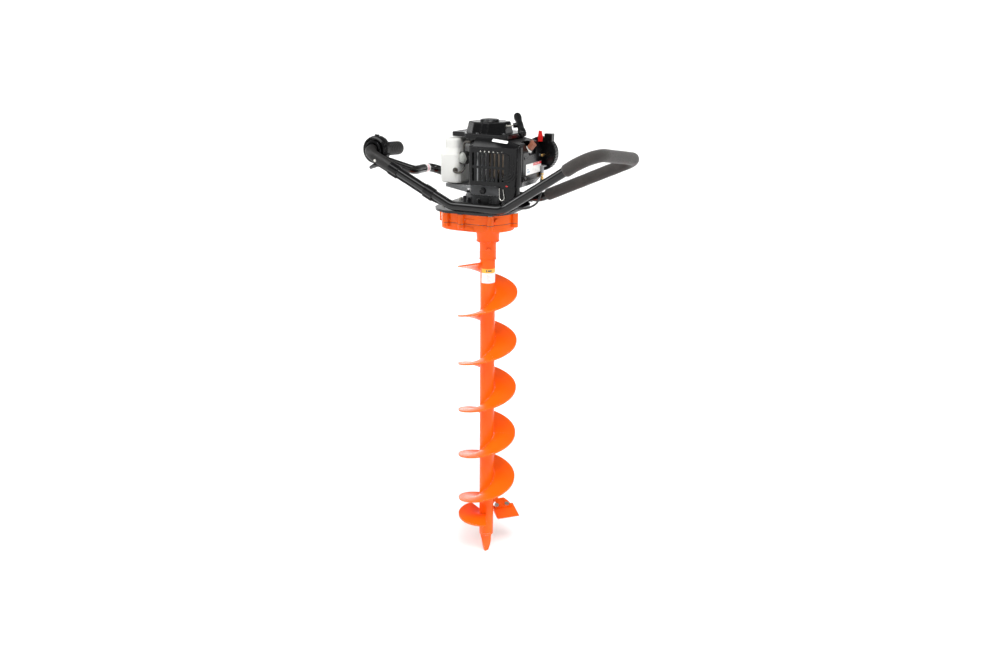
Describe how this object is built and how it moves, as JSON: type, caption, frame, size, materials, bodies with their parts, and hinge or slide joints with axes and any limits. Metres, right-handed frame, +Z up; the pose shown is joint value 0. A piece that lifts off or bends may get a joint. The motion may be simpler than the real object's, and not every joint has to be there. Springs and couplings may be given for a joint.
{
  "type": "ice fishing auger",
  "caption": "Hand-held powered auger: small two-stroke engine on a tubular frame with padded loop and throttle grip, gear case below, helical bit with bolted blade and tapered point.",
  "frame": {"origin": "tip of the pilot point, on the drive axis", "axes": "+Z up the drive axis from the point to the engine; +X towards the padded handle loop; -Y towards the exhaust guard, +Y towards the air filter and the operator"},
  "size_m": [0.6736, 0.24, 1.1975],
  "materials": {
    "orange_paint": "gloss orange enamel",
    "black_paint": "gloss black powder coat",
    "dark_casting": "cast, painted dark grey",
    "blade_enamel": "orange enamel, ground bare along the edge",
    "point_steel": "orange, worn to steel at the tip",
    "zinc_steel": "zinc plated",
    "machined_steel": "machined",
    "cast_aluminium": "as cast",
    "gasket_fibre": "fibre sheet",
    "friction_lining": "moulded lining",
    "foam": "closed-cell foam",
    "boot_rubber": "moulded brown rubber",
    "grip_rubber": "ribbed rubber",
    "black_plastic": "fine grained moulding",
    "red_plastic": "moulded",
    "cable_sheath": "smooth sheath",
    "rope_fibre": "braided",
    "filter_foam": "open-cell foam",
    "muffler_steel": "heat tinted",
    "plated_brass": "plated",
    "plug_ceramic": "glazed",
    "tank_plastic": "milky translucent",
    "primer_rubber": "translucent soft dome",
    "hose": "fuel hose"
  },
  "bodies": {
    "powerhead": {"gear_case_lower": "orange_paint", "gear_case_upper": "orange_paint", "case_gasket": "gasket_fibre", "case_bolts": "zinc_steel", "bearings": "machined_steel", "mounting_plate": "black_paint", "mount_bolts": "zinc_steel", "front_handle_tube": "black_paint", "rear_handle_tube": "black_paint", "foam_pad": "foam", "throttle_housing": "black_plastic", "throttle_grip": "grip_rubber", "throttle_cable": "cable_sheath", "cable_clamps": "black_plastic", "clutch_housing": "dark_casting", "crankcase": "cast_aluminium", "crankshaft": "machined_steel", "clutch_shoes": "friction_lining", "piston": "cast_aluminium", "connecting_rod": "machined_steel", "cylinder": "cast_aluminium", "spark_plug": "plug_ceramic", "plug_cap": "boot_rubber", "flywheel": "cast_aluminium", "ignition_coil": "black_plastic", "muffler": "muffler_steel", "muffler_guard": "black_plastic", "engine_shroud": "black_plastic", "starter_housing": "black_plastic", "carburettor": "cast_aluminium", "air_filter_base": "black_plastic", "air_filter_cover": "black_plastic", "air_filter_element": "filter_foam", "fuel_tank": "tank_plastic", "primer_base": "grip_rubber", "fuel_lines": "hose"},
    "bit": {"bit_tube": "orange_paint", "bit_socket": "orange_paint", "socket_bolt": "orange_paint", "flight_lower": "orange_paint", "flight_middle": "orange_paint", "flight_upper": "orange_paint", "cutting_head": "orange_paint", "cutting_blade": "blade_enamel", "blade_bolts": "zinc_steel", "pilot_point": "point_steel", "output_shaft": "machined_steel", "output_gear": "machined_steel"},
    "idler": {"idler_shaft": "machined_steel", "idler_gear": "machined_steel"},
    "drum": {"clutch_drum": "machined_steel"},
    "starter_pull": {"starter_handle": "black_plastic", "starter_rope": "rope_fibre"},
    "reel": {"starter_reel": "black_plastic"},
    "trigger": {"throttle_trigger": "black_plastic"},
    "carburettor_lever": {"throttle_lever": "plated_brass"},
    "choke": {"choke_lever": "red_plastic"},
    "switch": {"stop_switch": "black_plastic"},
    "primer": {"primer_bulb": "primer_rubber"},
    "cap": {"fuel_cap": "black_plastic"}
  },
  "joints": [
    {"name": "bit_spin", "type": "hinge", "parent": "powerhead", "child": "bit", "pos_m": [0, 0, 0.9], "axis": [0, 0, 1], "continuous": true},
    {"name": "idler_spin", "type": "hinge", "parent": "powerhead", "child": "idler", "pos_m": [-0.057, 0, 0.93], "axis": [0, 0, 1], "continuous": true},
    {"name": "drum_spin", "type": "hinge", "parent": "powerhead", "child": "drum", "pos_m": [0, 0, 0.96], "axis": [0, 0, 1], "continuous": true},
    {"name": "starter_pull", "type": "slide", "parent": "powerhead", "child": "starter_pull", "axis": [0.8489, 0.5163, 0.1129], "range_m": [0, 0.6], "stiffness_N_per_m": 20},
    {"name": "reel_spin", "type": "hinge", "parent": "powerhead", "child": "reel", "pos_m": [0.003, 0, 1.163], "axis": [0, 0, 1], "range_deg": [-1300, 1300]},
    {"name": "throttle_squeeze", "type": "hinge", "parent": "powerhead", "child": "trigger", "pos_m": [-0.285, -0.05125, 1.07341], "axis": [1, 0, 0], "range_deg": [0, 12], "stiffness_Nm_per_rad": 0.5, "springref_deg": -5.73},
    {"name": "carb_throttle", "type": "hinge", "parent": "powerhead", "child": "carburettor_lever", "pos_m": [0.098, 0.06, 1.098], "axis": [1, 0, 0], "range_deg": [0, 50]},
    {"name": "choke_turn", "type": "hinge", "parent": "powerhead", "child": "choke", "pos_m": [0.1085, 0.066, 1.133], "axis": [0, 1, 0], "range_deg": [0, 70]},
    {"name": "stop_slide", "type": "slide", "parent": "powerhead", "child": "switch", "axis": [0, 0.9989, -0.0476], "range_m": [0, 0.0035]},
    {"name": "primer_press", "type": "slide", "parent": "powerhead", "child": "primer", "axis": [0, 1, 0], "range_m": [0, 0.0049], "stiffness_N_per_m": 400},
    {"name": "cap_turn", "type": "hinge", "parent": "powerhead", "child": "cap", "pos_m": [-0.076, 0.066, 1.112], "axis": [0, 1, 0], "range_deg": [0, 540]}
  ],
  "couplings": [
    {"joint": "idler_spin", "follows": "bit_spin", "ratio": -5.3333},
    {"joint": "drum_spin", "follows": "bit_spin", "ratio": 35.2},
    {"joint": "reel_spin", "follows": "starter_pull", "rad_per_m": 35.714},
    {"joint": "carb_throttle", "follows": "throttle_squeeze", "ratio": 4}
  ]
}
